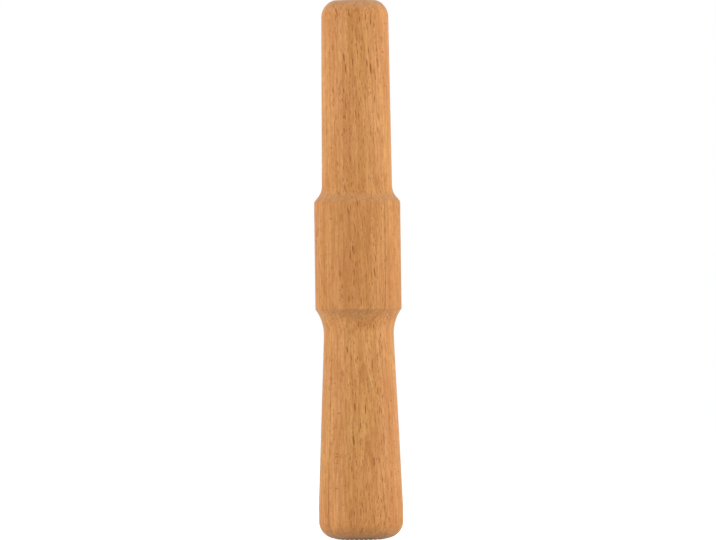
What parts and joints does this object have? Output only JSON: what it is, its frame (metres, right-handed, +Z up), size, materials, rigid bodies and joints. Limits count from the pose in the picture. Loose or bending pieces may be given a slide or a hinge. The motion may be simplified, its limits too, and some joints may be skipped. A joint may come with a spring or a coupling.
{
  "type": "wooden pounder",
  "caption": "Turned beech pounder with a tapered handle, a wide collar and a flared head whose rounded foot is cut into blunt teeth.",
  "frame": {"origin": "middle of the foot's flat, on the surface that the pounder stands on", "axes": "+Z up the turning axis from the foot to the end of the handle; +Y away from the viewer of the pictured side; +X to that viewer's right"},
  "size_m": [0.048, 0.048, 0.3],
  "materials": {
    "beech": "sanded and lightly oiled, satin"
  },
  "bodies": {
    "root": {"turned_pounder": "beech"}
  },
  "joints": []
}
